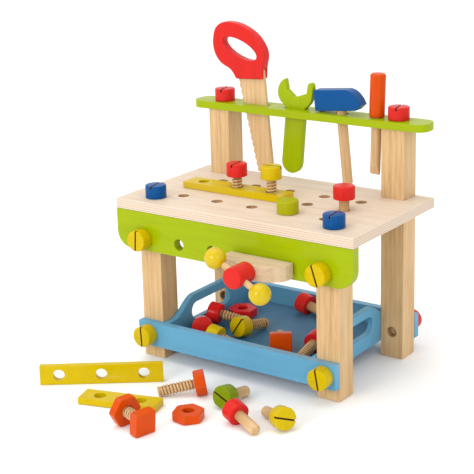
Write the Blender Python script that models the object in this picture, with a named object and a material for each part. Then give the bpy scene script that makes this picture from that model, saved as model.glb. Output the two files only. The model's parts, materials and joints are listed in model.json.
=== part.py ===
"""Toy tool bench: a small wooden workbench with a vise, a tool rail, a tool tray and loose bolts.

Metres, +Z up, floor at Z = 0. X runs along the bench to the right, and Y from its front to its back.
Everything is measured from the middle of the bench top, and the whole set is then moved so that the
origin lies on the floor under the middle of the set.
"""
import math

import bmesh
import bpy
from mathutils import Matrix, Vector
from mathutils.geometry import tessellate_polygon

GAP = 0.0003            # air between pieces that touch
ROUND_SIDES = 20        # sides of bores and of turned pieces
BOLT_SIDES = 16

# bench top and its grid of peg holes
TOP_LENGTH = 0.330
TOP_DEPTH = 0.190
TOP_THICKNESS = 0.012
BENCH_HEIGHT = 0.200
PEG_HOLE_RADIUS = 0.0069
PEG_PITCH = 0.050
PEG_COLUMNS = (-2, -1, 0, 1, 2)
PEG_ROWS_Y = (-0.046, -0.004, 0.035)

# legs and posts
LEG_SIDE = 0.030
LEG_X = 0.125
FRONT_LEG_Y = -0.068
REAR_POST_Y = 0.080
POST_HEIGHT = 0.284

# boards
APRON_THICKNESS = 0.012
APRON_BOTTOM = 0.1402
APRON_CORNER = 0.020
APRON_HOLES_X = (-0.072, -0.024)
APRON_HOLE_Z = 0.155
RAIL_LENGTH = 0.3325
RAIL_X = 0.001
RAIL_DEPTH = 0.034
RAIL_THICKNESS = 0.009
RAIL_CORNER = 0.013
RAIL_Y = 0.079

# tool tray
TRAY_BOTTOM = 0.0175
TRAY_HEIGHT = 0.030
TRAY_BOARD = 0.0095
TRAY_LENGTH = 0.281
TRAY_SIDE_THICKNESS = 0.008
TRAY_BASE_Z = 0.0195
TRAY_BASE_THICKNESS = 0.0055
HANDLE_TOP = 0.0685
HANDLE_SLOT_Z = 0.0465
HANDLE_SLOT_HALF_LENGTH = 0.041
HANDLE_SLOT_RADIUS = 0.0105

# turned wooden bolts
BOLT_HOLE_RADIUS = 0.00655
SHAFT_RADIUS = 0.00625
HEAD_RADIUS = 0.01275
HEAD_HEIGHT = 0.0155
HEAD_CHAMFER = 0.0010
HEX_HEAD_CORNERS = 0.0310
HEX_HEIGHT = 0.0125
NUT_CORNERS = 0.0375
NUT_HEIGHT = 0.0105
SQUARE_SIDE = 0.0262
SQUARE_HEIGHT = 0.0125
SHORT_SHAFT = 0.032
FIXING_SHAFT = 0.033
WORK_SHAFT = 0.038
THREADED_SHAFT = 0.036
LONG_SHAFT = 0.043
NUT_AT = 0.0265          # from the square bolt's head to the middle of the nut on it
SLOT_WIDTH = 0.0022
SLOT_DEPTH = 0.0040
APRON_BOLT_Z = 0.1552
TRAY_BOLT_Z = TRAY_BOTTOM + TRAY_HEIGHT / 2

# vise
VISE_X = 0.048
VISE_Z = 0.1525
JAW_LENGTH = 0.084
JAW_DEPTH = 0.0295
JAW_HEIGHT = 0.018
JAW_GAP = 0.0032        # from the apron to the jaw, as the vise stands
HUB_RADIUS = 0.0122
HUB_LENGTH = 0.0295
SPINDLE_LENGTH = 0.1055
HANDLE_RADIUS = 0.0037
HANDLE_INSET = 0.012    # from the hub's front face to the handle's axis
HANDLE_TILT = math.radians(28.3)
BALL_RADIUS = 0.0125
BALL_OFFSET = 0.0333

# hole bars
BAR_WIDTH = 0.0265
BAR_THICKNESS = 0.008
FLOOR_BAR_WIDTH = 0.0232
BAR_END = 0.0225        # from the last hole's centre to the bar's end

# tools, each hung through the rail with a slight lean
TOOL_CLEARANCE = 0.0008
SAW_TILT = math.radians(5.2)
SAW_AT = (-0.0605, 0.326)
SAW_HANDLE_THICKNESS = 0.0125
SAW_BLADE_THICKNESS = 0.0045
SAW_BLADE_LENGTH = 0.117
SAW_TONGUE = 0.012      # how far the blade reaches into the handle
SAW_TEETH = 14
WRENCH_TILT = math.radians(-5.7)
WRENCH_AT = (-0.0169, 0.2935)
WRENCH_THICKNESS = 0.0078
HAMMER_TILT = math.radians(5.5)
HAMMER_AT = (0.0480, 0.2938)
HAMMER_THICKNESS = 0.016
HAMMER_SOCKET = 0.018
HAMMER_REACH = 0.088
DRIVER_TILT = math.radians(-1.9)
DRIVER_AT = (0.0963, 0.2938)
DRIVER_HANDLE_RADIUS = 0.0093
DRIVER_HANDLE_LENGTH = 0.052
DRIVER_SOCKET = 0.020
DRIVER_REACH = 0.0705
DRIVER_WEDGE = 0.018

COLOURS = {
    "plywood": ((0.80, 0.69, 0.53), 0.55),
    "pine": ((0.76, 0.55, 0.33), 0.55),
    "beech": ((0.78, 0.58, 0.38), 0.55),
    "green": ((0.45, 0.58, 0.01), 0.40),
    "dark_green": ((0.30, 0.40, 0.03), 0.40),
    "yellow": ((0.80, 0.60, 0.00), 0.40),
    "red": ((0.75, 0.02, 0.02), 0.40),
    "dark_red": ((0.42, 0.01, 0.02), 0.40),
    "orange": ((0.85, 0.10, 0.01), 0.40),
    "tray_blue": ((0.12, 0.36, 0.60), 0.40),
    "blue": ((0.00, 0.09, 0.38), 0.40),
}

FRONT_FACING = Matrix.Rotation(math.radians(90), 4, "X")                       # local Z looks to -Y
SIDE_FACING = Matrix(((0, 0, 1, 0), (1, 0, 0, 0), (0, 1, 0, 0), (0, 0, 0, 1)))  # local X, Y, Z to Y, Z, X
BACK_FACING = Matrix.Rotation(math.radians(-90), 4, "X")                       # local Z looks to +Y


# ---------------------------------------------------------------- scene and materials

def clear_scene():
    for item in list(bpy.data.objects):
        bpy.data.objects.remove(item)


def paint(name):
    material = bpy.data.materials.get(name)
    if material is None:
        colour, roughness = COLOURS[name]
        material = bpy.data.materials.new(name)
        material.use_nodes = True
        shader = material.node_tree.nodes["Principled BSDF"]
        shader.inputs["Base Color"].default_value = (*colour, 1.0)
        shader.inputs["Roughness"].default_value = roughness
        shader.inputs["Metallic"].default_value = 0.0
        material.diffuse_color = (*colour, 1.0)
    return material


def empty(name, place, parent):
    item = bpy.data.objects.new(name, None)
    bpy.context.scene.collection.objects.link(item)
    item.parent = parent
    item.location = place
    return item


def piece(name, bm, colour, place, joint):
    """One sub-part: its mesh is written about its joint's axis, and `place` puts it on the bench."""
    bmesh.ops.recalc_face_normals(bm, faces=bm.faces)
    mesh = bpy.data.meshes.new(name)
    bm.transform(Matrix.Translation(joint.location).inverted() @ place)
    bm.to_mesh(mesh)
    bm.free()
    mesh.materials.append(paint(colour))
    mesh.shade_smooth()
    mesh.set_sharp_from_angle(angle=math.radians(35))
    item = bpy.data.objects.new(name, mesh)
    bpy.context.scene.collection.objects.link(item)
    item.parent = joint
    return item


def cut(item, bm, place):
    """Cuts the closed shape in `bm` out of a piece, and keeps the result as the piece's own mesh."""
    bmesh.ops.recalc_face_normals(bm, faces=bm.faces)
    bm.transform(Matrix.Translation(item.parent.location).inverted() @ place)
    mesh = bpy.data.meshes.new("cutter")
    bm.to_mesh(mesh)
    bm.free()
    cutter = bpy.data.objects.new("cutter", mesh)
    bpy.context.scene.collection.objects.link(cutter)
    cutter.parent = item.parent
    cutter.hide_render = True
    cutter.display_type = "WIRE"
    modifier = item.modifiers.new("cut", "BOOLEAN")
    modifier.operation = "DIFFERENCE"
    modifier.object = cutter
    bpy.context.view_layer.update()
    graph = bpy.context.evaluated_depsgraph_get()
    result = bpy.data.meshes.new_from_object(item.evaluated_get(graph))
    item.modifiers.clear()
    item.data = result
    bpy.data.objects.remove(cutter)


# ---------------------------------------------------------------- outlines

def circle(x, y, radius, sides=ROUND_SIDES):
    steps = [2 * math.pi * step / sides for step in range(sides)]
    return [(x + radius * math.cos(turn), y + radius * math.sin(turn)) for turn in steps]


def arc(x, y, radius, start, end, steps):
    turns = [math.radians(start + (end - start) * step / steps) for step in range(steps + 1)]
    return [(x + radius * math.cos(turn), y + radius * math.sin(turn)) for turn in turns]


def rectangle(x0, y0, x1, y1):
    return [(x0, y0), (x1, y0), (x1, y1), (x0, y1)]


def stadium(x, y, half_length, radius, steps=8):
    reach = half_length - radius
    return arc(x + reach, y, radius, -90, 90, steps) + arc(x - reach, y, radius, 90, 270, steps)


def smooth(points, steps=3):
    """A curve through every point (Catmull-Rom), whose first and last points stay where they are."""
    padded = [points[0], *points, points[-1]]
    path = []
    for a, b, c, d in zip(padded, padded[1:], padded[2:], padded[3:]):
        for step in range(steps):
            t = step / steps
            path.append(tuple(
                0.5 * (2 * q + (r - p) * t + (2 * p - 5 * q + 4 * r - s) * t * t
                       + (3 * q - p - 3 * r + s) * t ** 3)
                for p, q, r, s in zip(a, b, c, d)))
    return path + [points[-1]]


# ---------------------------------------------------------------- solids

def join_rings(bm, low, high):
    for index in range(len(low)):
        after = (index + 1) % len(low)
        bm.faces.new((low[index], low[after], high[after], high[index]))


def prism(outline, low, high, holes=()):
    """A board: an outline with through holes, from z = low to z = high."""
    loops = [outline, *holes]
    triangles = tessellate_polygon([[Vector((x, y, 0)) for x, y in loop] for loop in loops])
    bm = bmesh.new()
    rings = [[[bm.verts.new((x, y, z)) for x, y in loop] for loop in loops] for z in (low, high)]
    for z_rings in rings:
        corners = [vert for ring in z_rings for vert in ring]
        for triangle in triangles:
            bm.faces.new([corners[index] for index in triangle])
    for ring_low, ring_high in zip(*rings):
        join_rings(bm, ring_low, ring_high)
    return bm


def lathe(profile, sides=ROUND_SIDES):
    """A turned solid about Z from (radius, z) points; the first and the last are on the axis."""
    bm = bmesh.new()
    start = bm.verts.new((0, 0, profile[0][1]))
    end = bm.verts.new((0, 0, profile[-1][1]))
    rings = [[bm.verts.new((x, y, z)) for x, y in circle(0, 0, radius, sides)] for radius, z in profile[1:-1]]
    for index in range(sides):
        after = (index + 1) % sides
        bm.faces.new((start, rings[0][index], rings[0][after]))
        bm.faces.new((end, rings[-1][index], rings[-1][after]))
    for low, high in zip(rings, rings[1:]):
        join_rings(bm, low, high)
    return bm


def bolt(head_outline, head_height, shaft_length, tip_bevel=0.0012):
    """A head on a shaft: the head stands on z = 0 and the shaft hangs below it."""
    reach = max(abs(x) for x, _ in head_outline)
    inset = 1 - HEAD_CHAMFER / reach
    bm = bmesh.new()
    levels = [(head_height, inset), (head_height - HEAD_CHAMFER, 1), (HEAD_CHAMFER, 1), (0, inset)]
    rings = [[bm.verts.new((x * scale, y * scale, z)) for x, y in head_outline] for z, scale in levels]
    bm.faces.new(rings[0])
    for low, high in zip(rings, rings[1:]):
        join_rings(bm, low, high)
    shaft_levels = [(0, SHAFT_RADIUS), (tip_bevel - shaft_length, SHAFT_RADIUS),
                    (-shaft_length, SHAFT_RADIUS - tip_bevel)]
    shaft = [[bm.verts.new((x, y, z)) for x, y in circle(0, 0, radius, BOLT_SIDES)] for z, radius in shaft_levels]
    for low, high in zip(shaft, shaft[1:]):
        join_rings(bm, low, high)
    bm.faces.new(shaft[-1])
    under = [rings[-1], shaft[0]]
    corners = [vert for ring in under for vert in ring]
    for triangle in tessellate_polygon([[vert.co for vert in ring] for ring in under]):
        bm.faces.new([corners[index] for index in triangle])
    return bm


def round_head():
    return circle(0, 0, HEAD_RADIUS, BOLT_SIDES)


def hexagon(across_corners):
    return circle(0, 0, across_corners / 2, 6)


def square():
    half = SQUARE_SIDE / 2
    return rectangle(-half, -half, half, half)


def nut():
    return prism(hexagon(NUT_CORNERS), -NUT_HEIGHT / 2, NUT_HEIGHT / 2, [circle(0, 0, BOLT_HOLE_RADIUS)])


def slotted(item, place, turn=0.0):
    """Saws a screwdriver slot across a round head's face."""
    width = SLOT_WIDTH / 2
    bm = prism(rectangle(-0.02, -width, 0.02, width), HEAD_HEIGHT - SLOT_DEPTH, HEAD_HEIGHT + 0.005)
    cut(item, bm, place @ Matrix.Rotation(math.radians(turn), 4, "Z"))


def spindle_place(x, y, z, facing):
    return Matrix.Translation((x, y, z)) @ facing


def lying(x, y, towards, lean, roll):
    """Puts a bolt on its side: its shaft points to the heading `towards` and dips by the angle `lean`."""
    heading = Matrix.Rotation(math.radians(towards), 4, "Z")
    tip_over = Matrix.Rotation(lean - math.pi / 2, 4, "Y")
    return Matrix.Translation((x, y, 0)) @ heading @ tip_over @ Matrix.Rotation(math.radians(roll), 4, "Z")


def rest_on(bm, place, floor):
    """Lowers or lifts a placed shape until its lowest point stands on the floor it is given."""
    lowest = min((place @ vert.co).z for vert in bm.verts)
    return Matrix.Translation((0, 0, floor - lowest)) @ place


# ---------------------------------------------------------------- the bench

def peg_holes():
    return [circle(column * PEG_PITCH, row, PEG_HOLE_RADIUS) for row in PEG_ROWS_Y for column in PEG_COLUMNS]


def bench_top(root):
    half = TOP_LENGTH / 2
    back = TOP_DEPTH / 2
    notch = LEG_SIDE / 2 + GAP
    notch_front = REAR_POST_Y - LEG_SIDE / 2 - GAP
    outline = [(-half, -back), (half, -back), (half, back)]
    for x in (LEG_X, -LEG_X):
        outline += [(x + notch, back), (x + notch, notch_front), (x - notch, notch_front), (x - notch, back)]
    outline += [(-half, back)]
    leg_bolts = [circle(x, FRONT_LEG_Y, BOLT_HOLE_RADIUS) for x in (-LEG_X, LEG_X)]
    bm = prism(outline, BENCH_HEIGHT - TOP_THICKNESS, BENCH_HEIGHT, peg_holes() + leg_bolts)
    piece("bench_top", bm, "plywood", Matrix(), root)


def front_leg(name, x, root):
    half = LEG_SIDE / 2
    height = BENCH_HEIGHT - TOP_THICKNESS - GAP
    bm = prism(rectangle(x - half, FRONT_LEG_Y - half, x + half, FRONT_LEG_Y + half), 0, height)
    leg = piece(name, bm, "pine", Matrix(), root)
    bore = lathe([(0, 0), (BOLT_HOLE_RADIUS, 0), (BOLT_HOLE_RADIUS, 0.040), (0, 0.040)])
    cut(leg, bore, Matrix.Translation((x, FRONT_LEG_Y, BENCH_HEIGHT - SHORT_SHAFT - 0.0015)))
    for z in (APRON_BOLT_Z, TRAY_BOLT_Z):
        bore = lathe([(0, 0), (BOLT_HOLE_RADIUS, 0), (BOLT_HOLE_RADIUS, 0.040), (0, 0.040)])
        cut(leg, bore, spindle_place(x, FRONT_LEG_Y + half / 2 + 0.002, z, FRONT_FACING))


def rear_post(name, x, root):
    half = LEG_SIDE / 2
    bm = prism(rectangle(x - half, REAR_POST_Y - half, x + half, REAR_POST_Y + half), 0, POST_HEIGHT - GAP)
    post = piece(name, bm, "pine", Matrix(), root)
    bore = lathe([(0, 0), (BOLT_HOLE_RADIUS, 0), (BOLT_HOLE_RADIUS, 0.040), (0, 0.040)])
    cut(post, bore, Matrix.Translation((x, REAR_POST_Y, POST_HEIGHT + RAIL_THICKNESS - FIXING_SHAFT - 0.0012)))
    through = lathe([(0, -0.03), (BOLT_HOLE_RADIUS, -0.03), (BOLT_HOLE_RADIUS, 0.03), (0, 0.03)])
    cut(post, through, spindle_place(x, REAR_POST_Y, TRAY_BOLT_Z, FRONT_FACING))


def front_apron(root):
    half = TOP_LENGTH / 2
    top = BENCH_HEIGHT - TOP_THICKNESS - GAP
    outline = [(half, top), (-half, top)]
    outline += arc(-half + APRON_CORNER, APRON_BOTTOM + APRON_CORNER, APRON_CORNER, 180, 270, 8)
    outline += arc(half - APRON_CORNER, APRON_BOTTOM + APRON_CORNER, APRON_CORNER, 270, 360, 8)
    holes = [circle(x, APRON_BOLT_Z, BOLT_HOLE_RADIUS) for x in (-LEG_X, LEG_X)]
    holes += [circle(x, APRON_HOLE_Z, PEG_HOLE_RADIUS) for x in APRON_HOLES_X]
    holes += [circle(VISE_X, VISE_Z, BOLT_HOLE_RADIUS)]
    back = FRONT_LEG_Y - LEG_SIDE / 2 - GAP
    bm = prism(outline, 0, APRON_THICKNESS, holes)
    piece("front_apron", bm, "green", spindle_place(0, back, 0, FRONT_FACING), root)


def tool_rail(root):
    half = RAIL_LENGTH / 2 - RAIL_CORNER
    deep = RAIL_DEPTH / 2 - RAIL_CORNER
    outline = []
    for turn, x, y in ((0, half, deep), (90, -half, deep), (180, -half, -deep), (270, half, -deep)):
        outline += arc(RAIL_X + x, RAIL_Y + y, RAIL_CORNER, turn, turn + 90, 6)
    saw = SAW_BLADE_THICKNESS / 2 + TOOL_CLEARANCE
    wrench = WRENCH_THICKNESS / 2 + TOOL_CLEARANCE
    holes = [circle(x, REAR_POST_Y, BOLT_HOLE_RADIUS) for x in (-LEG_X, LEG_X)]
    holes += [rectangle(-0.0945, RAIL_Y - saw, -0.0540, RAIL_Y + saw),
              rectangle(-0.0320, RAIL_Y - wrench, -0.0005, RAIL_Y + wrench),
              circle(HAMMER_AT[0] + 0.0004, RAIL_Y, SHAFT_RADIUS + 0.0018),
              circle(DRIVER_AT[0] - 0.0002, RAIL_Y, SHAFT_RADIUS + 0.0012)]
    bm = prism(outline, POST_HEIGHT, POST_HEIGHT + RAIL_THICKNESS, holes)
    piece("tool_rail", bm, "green", Matrix(), root)


def tray_long_board(name, y, root):
    half = TRAY_LENGTH / 2
    holes = [circle(x, TRAY_BOLT_Z, BOLT_HOLE_RADIUS) for x in (-LEG_X, LEG_X)]
    bm = prism(rectangle(-half, TRAY_BOTTOM, half, TRAY_BOTTOM + TRAY_HEIGHT), 0, TRAY_BOARD, holes)
    piece(name, bm, "tray_blue", spindle_place(0, y, 0, FRONT_FACING), root)


def tray_side(name, x, root):
    """A tray side: a low board whose top edge rises in two S-curves to a hand hold."""
    front = FRONT_LEG_Y - LEG_SIDE / 2
    back = REAR_POST_Y + LEG_SIDE / 2
    middle = (front + back) / 2
    low = TRAY_BOTTOM + TRAY_HEIGHT
    rise = HANDLE_TOP - low
    foot, crest, steps = 0.078, 0.033, 8
    outline = [(front, TRAY_BOTTOM), (back, TRAY_BOTTOM), (back, low)]
    for step in range(steps + 1):
        part = step / steps
        outline.append((middle + foot + (crest - foot) * part, low + rise * (1 - math.cos(math.pi * part)) / 2))
    for step in range(steps + 1):
        part = step / steps
        outline.append((middle - crest - (foot - crest) * part, low + rise * (1 + math.cos(math.pi * part)) / 2))
    outline.append((front, low))
    slot = stadium(middle, HANDLE_SLOT_Z, HANDLE_SLOT_HALF_LENGTH, HANDLE_SLOT_RADIUS)
    half = TRAY_SIDE_THICKNESS / 2
    piece(name, prism(outline, -half, half, [slot]), "tray_blue", spindle_place(x, 0, 0, SIDE_FACING), root)


def tray_side_x():
    return LEG_X - LEG_SIDE / 2 - GAP - TRAY_SIDE_THICKNESS / 2


def tray(root):
    front = FRONT_LEG_Y - LEG_SIDE / 2
    back = REAR_POST_Y + LEG_SIDE / 2
    tray_long_board("tray_front_board", front - GAP, root)
    tray_long_board("tray_rear_board", back + GAP + TRAY_BOARD, root)
    tray_side("tray_side_left", -tray_side_x(), root)
    tray_side("tray_side_right", tray_side_x(), root)
    inner = tray_side_x() - TRAY_SIDE_THICKNESS / 2 - GAP
    bm = prism(rectangle(-inner, front, inner, back), TRAY_BASE_Z, TRAY_BASE_Z + TRAY_BASE_THICKNESS)
    piece("tray_base_panel", bm, "tray_blue", Matrix(), root)


def fixings(root):
    """The ten big wooden screws that hold the bench together."""
    apron_face = FRONT_LEG_Y - LEG_SIDE / 2 - APRON_THICKNESS - 2 * GAP
    tray_face = FRONT_LEG_Y - LEG_SIDE / 2 - TRAY_BOARD - 2 * GAP
    rear_face = REAR_POST_Y + LEG_SIDE / 2 + TRAY_BOARD + 2 * GAP
    rail_face = POST_HEIGHT + RAIL_THICKNESS + GAP
    rows = (
        ("top_bolt", "blue", FRONT_LEG_Y, BENCH_HEIGHT + GAP, Matrix(), SHORT_SHAFT, (100, 96)),
        ("apron_bolt", "yellow", apron_face, APRON_BOLT_Z, FRONT_FACING, FIXING_SHAFT, (86, 108)),
        ("tray_front_bolt", "yellow", tray_face, TRAY_BOLT_Z, FRONT_FACING, FIXING_SHAFT, (93, 100)),
        ("tray_rear_bolt", "red", rear_face, TRAY_BOLT_Z, BACK_FACING, FIXING_SHAFT, (70, 40)),
        ("rail_bolt", "red", REAR_POST_Y, rail_face, Matrix(), FIXING_SHAFT, (103, 102)),
    )
    for name, colour, y, z, facing, shaft, turns in rows:
        for side, x, turn in (("left", -LEG_X, turns[0]), ("right", LEG_X, turns[1])):
            place = spindle_place(x, y, z, facing)
            item = piece(f"{name}_{side}", bolt(round_head(), HEAD_HEIGHT, shaft), colour, place, root)
            slotted(item, place, turn)


# ---------------------------------------------------------------- the vise

def vise_jaw(joint):
    """A block with a flat back and a front that is rounded off at both ends."""
    half = JAW_LENGTH / 2
    corner_x, corner_y = 0.030, 0.021
    outline = [(half, 0), (-half, 0)]
    for sign, start in ((-1, 180), (1, 270)):
        for step in range(9):
            turn = math.radians(start + 90 * step / 8)
            outline.append((sign * (half - corner_x) + corner_x * math.cos(turn),
                            corner_y - JAW_DEPTH + corner_y * math.sin(turn)))
    bm = prism(outline, -JAW_HEIGHT / 2, JAW_HEIGHT / 2)
    jaw = piece("vise_jaw", bm, "beech", Matrix.Translation((VISE_X, jaw_back(), VISE_Z)), joint)
    bore = lathe([(0, -0.01), (BOLT_HOLE_RADIUS, -0.01), (BOLT_HOLE_RADIUS, 0.06), (0, 0.06)])
    cut(jaw, bore, spindle_place(VISE_X, jaw_back() + 0.005, VISE_Z, FRONT_FACING))


def jaw_back():
    return FRONT_LEG_Y - LEG_SIDE / 2 - GAP - APRON_THICKNESS - JAW_GAP


def ball_profile():
    """A ball on the end of a stick: half a circle, with a blind bore from below."""
    bore = HANDLE_RADIUS + GAP
    depth = -0.004
    start = -math.asin(math.sqrt(1 - (bore / BALL_RADIUS) ** 2))
    profile = [(0, depth), (bore, depth)]
    for step in range(9):
        turn = start + (math.pi / 2 - start) * step / 9
        profile.append((BALL_RADIUS * math.cos(turn), BALL_RADIUS * math.sin(turn)))
    return profile + [(0, BALL_RADIUS)]


def vise_screw(joint):
    hub_front = jaw_back() - JAW_DEPTH - GAP - HUB_LENGTH
    place = spindle_place(VISE_X, hub_front, VISE_Z, FRONT_FACING)
    bevel = 0.0015
    profile = [(0, 0), (HUB_RADIUS - bevel, 0), (HUB_RADIUS, -bevel), (HUB_RADIUS, bevel - HUB_LENGTH),
               (HUB_RADIUS - bevel, -HUB_LENGTH), (SHAFT_RADIUS + GAP, -HUB_LENGTH),
               (SHAFT_RADIUS + GAP, -HUB_LENGTH + 0.008), (0, -HUB_LENGTH + 0.008)]
    hub = piece("vise_hub", lathe(profile), "red", place, joint)
    spin = Matrix.Rotation(HANDLE_TILT, 4, "Y")
    handle_y = hub_front + HANDLE_INSET
    across = Matrix.Translation((VISE_X, handle_y, VISE_Z)) @ spin @ Matrix.Rotation(math.radians(90), 4, "Y")
    hole = HANDLE_RADIUS + GAP
    cut(hub, lathe([(0, -0.03), (hole, -0.03), (hole, 0.03), (0, 0.03)], BOLT_SIDES), across)
    back = -HUB_LENGTH + 0.008 - GAP
    profile = [(0, back), (SHAFT_RADIUS, back), (SHAFT_RADIUS, -SPINDLE_LENGTH),
               (SHAFT_RADIUS - bevel, -SPINDLE_LENGTH - bevel), (0, -SPINDLE_LENGTH - bevel)]
    piece("vise_spindle", lathe(profile), "beech", place, joint)
    reach = BALL_OFFSET - 0.0043
    profile = [(0, -reach), (HANDLE_RADIUS, -reach), (HANDLE_RADIUS, reach), (0, reach)]
    piece("vise_handle", lathe(profile, BOLT_SIDES), "beech", across, joint)
    for side, sign in (("left", -1), ("right", 1)):
        outward = Matrix.Rotation(math.radians(90 - 90 * sign), 4, "X")
        ball_place = across @ Matrix.Translation((0, 0, sign * BALL_OFFSET)) @ outward
        piece(f"vise_ball_{side}", lathe(ball_profile()), "yellow", ball_place, joint)


# ---------------------------------------------------------------- things on the bench

def hole_bar(holes, width=BAR_WIDTH):
    """A flat bar with evenly spaced holes; its first hole is at the origin."""
    length = (holes - 1) * PEG_PITCH
    half = width / 2
    outline = rectangle(-BAR_END, -half, length + BAR_END, half)
    bores = [circle(index * PEG_PITCH, 0, PEG_HOLE_RADIUS) for index in range(holes)]
    return prism(outline, 0, BAR_THICKNESS, bores)


def bench_pieces(joints):
    row_front, row_middle, _ = PEG_ROWS_Y
    place = Matrix.Translation((-2 * PEG_PITCH, row_middle, BENCH_HEIGHT + GAP))
    piece("work_bar", hole_bar(3), "yellow", place, joints["work_bar"])
    rows = (
        ("red_work_bolt", "red", -1, row_middle, 0.0222, WORK_SHAFT, 95),
        ("yellow_work_bolt", "yellow", 0, row_middle, 0.0250, WORK_SHAFT, 8),
        ("green_work_bolt", "dark_green", 1, row_front, GAP, SHORT_SHAFT, None),
        ("red_work_peg", "red", 2, row_middle, 0.014, WORK_SHAFT, None),
    )
    for name, colour, column, y, lift, shaft, turn in rows:
        place = Matrix.Translation((column * PEG_PITCH, y, BENCH_HEIGHT + lift))
        item = piece(name, bolt(round_head(), HEAD_HEIGHT, shaft), colour, place, joints[name])
        if turn is not None:
            slotted(item, place, turn)


# ---------------------------------------------------------------- tools

def hung(at, tilt):
    """A tool's own frame: X to the right, Y up, Z to the front, leaning by `tilt` in the rail's plane."""
    return Matrix.Translation((at[0], RAIL_Y, at[1])) @ Matrix.Rotation(-tilt, 4, "Y") @ FRONT_FACING


def saw(joint):
    place = hung(SAW_AT, SAW_TILT)
    outer = [(-0.0017, 0.000), (0.0004, 0.014), (0.0045, 0.029), (0.0015, 0.042), (-0.009, 0.0565),
             (-0.029, 0.069), (-0.051, 0.0735), (-0.066, 0.067), (-0.0725, 0.050), (-0.071, 0.034),
             (-0.0625, 0.0215), (-0.0495, 0.0135), (-0.042, 0.0014)]
    slope = math.radians(-27)
    grip = [(-0.0325 + 0.0270 * x * math.cos(slope) - 0.0105 * y * math.sin(slope),
             0.0390 + 0.0270 * x * math.sin(slope) + 0.0105 * y * math.cos(slope))
            for x, y in circle(0, 0, 1, 24)]
    half = SAW_HANDLE_THICKNESS / 2
    handle = piece("saw_handle", prism(smooth(outer), -half, half, [grip]), "red", place, joint)
    slit = SAW_BLADE_THICKNESS / 2 + GAP
    cut(handle, prism(rectangle(-0.0405, -0.02, 0.02, SAW_TONGUE + GAP), -slit, slit), place)
    tooth = SAW_BLADE_LENGTH / SAW_TEETH
    outline = [(-0.0018, SAW_TONGUE), (-0.0402, SAW_TONGUE), (-0.0402, -GAP)]
    for index in range(SAW_TEETH):
        start = index * tooth + 0.0006
        taper = (0.0402 - 0.0245) * start / SAW_BLADE_LENGTH
        outline.append((-0.0387 + taper, -start - tooth * 0.45))
        outline.append((-0.0400 + taper, -start - tooth * 0.85))
    outline += [(-0.0235, -SAW_BLADE_LENGTH - 0.001), (-0.0018, -SAW_BLADE_LENGTH - 0.001)]
    half = SAW_BLADE_THICKNESS / 2
    piece("saw_blade", prism(outline, -half, half), "beech", place, joint)


def wrench(joint):
    jaw = [(-0.0130, 0.0000), (-0.0194, 0.0038), (-0.0242, 0.0093), (-0.0262, 0.0160), (-0.0254, 0.0240),
           (-0.0215, 0.0309), (-0.0166, 0.0347)]
    mouth = [(-0.0127, 0.0212), (-0.0015, 0.0135), (0.0152, 0.0215)]
    horn = [(0.0158, 0.0310), (0.0172, 0.0342), (0.0205, 0.0352), (0.0232, 0.0325), (0.0240, 0.0255),
            (0.0236, 0.0170), (0.0212, 0.0095), (0.0145, 0.0015)]
    grip = arc(0.0008, -0.0692, 0.0140, 0, -180, 10)
    outline = smooth(jaw) + mouth + smooth(horn) + grip
    half = WRENCH_THICKNESS / 2
    piece("wrench", prism(outline, -half, half), "green", hung(WRENCH_AT, WRENCH_TILT), joint)


def hammer(joint):
    place = hung(HAMMER_AT, HAMMER_TILT)
    nose = [(0.0130, 0.0288), (0.0190, 0.0265), (0.0240, 0.0225), (0.0285, 0.0165), (0.0315, 0.0095)]
    outline = [(-0.0325, 0.0290), (-0.0325, 0.0035), (0.0240, 0.0035)] + nose[::-1]
    half = HAMMER_THICKNESS / 2
    head = piece("hammer_head", prism(outline, -half, half), "blue", place, joint)
    up = place @ Matrix.Rotation(math.radians(-90), 4, "X")
    socket = SHAFT_RADIUS + GAP
    deep = 0.0035 + HAMMER_SOCKET
    cut(head, lathe([(0, -0.01), (socket, -0.01), (socket, deep), (0, deep)]), up)
    top = deep - GAP
    profile = [(0, top), (SHAFT_RADIUS, top), (SHAFT_RADIUS, -HAMMER_REACH + 0.001),
               (SHAFT_RADIUS - 0.001, -HAMMER_REACH), (0, -HAMMER_REACH)]
    piece("hammer_handle", lathe(profile), "beech", up, joint)


def screwdriver(joint):
    up = hung(DRIVER_AT, DRIVER_TILT) @ Matrix.Rotation(math.radians(-90), 4, "X")
    radius, length = DRIVER_HANDLE_RADIUS, DRIVER_HANDLE_LENGTH
    socket = SHAFT_RADIUS + GAP
    profile = [(0, DRIVER_SOCKET), (socket, DRIVER_SOCKET), (socket, 0), (radius - 0.0008, 0), (radius, 0.0008),
               (radius, length - 0.001), (radius - 0.001, length), (0, length)]
    piece("screwdriver_handle", lathe(profile), "orange", up, joint)
    top = DRIVER_SOCKET - GAP
    shaft = piece("screwdriver_shaft",
                  lathe([(0, top), (SHAFT_RADIUS, top), (SHAFT_RADIUS, -DRIVER_REACH), (0, -DRIVER_REACH)]),
                  "beech", up, joint)
    for sign in (-1, 1):
        wedge = [(sign * (SHAFT_RADIUS + GAP), -DRIVER_REACH + DRIVER_WEDGE), (sign * 0.0008, -DRIVER_REACH),
                 (sign * 0.0008, -DRIVER_REACH - 0.01), (sign * 0.02, -DRIVER_REACH - 0.01),
                 (sign * 0.02, -DRIVER_REACH + DRIVER_WEDGE)]
        across = up @ Matrix.Rotation(math.radians(90), 4, "Z") @ FRONT_FACING
        cut(shaft, prism(wedge, -0.02, 0.02), across)


# ---------------------------------------------------------------- loose pieces

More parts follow.
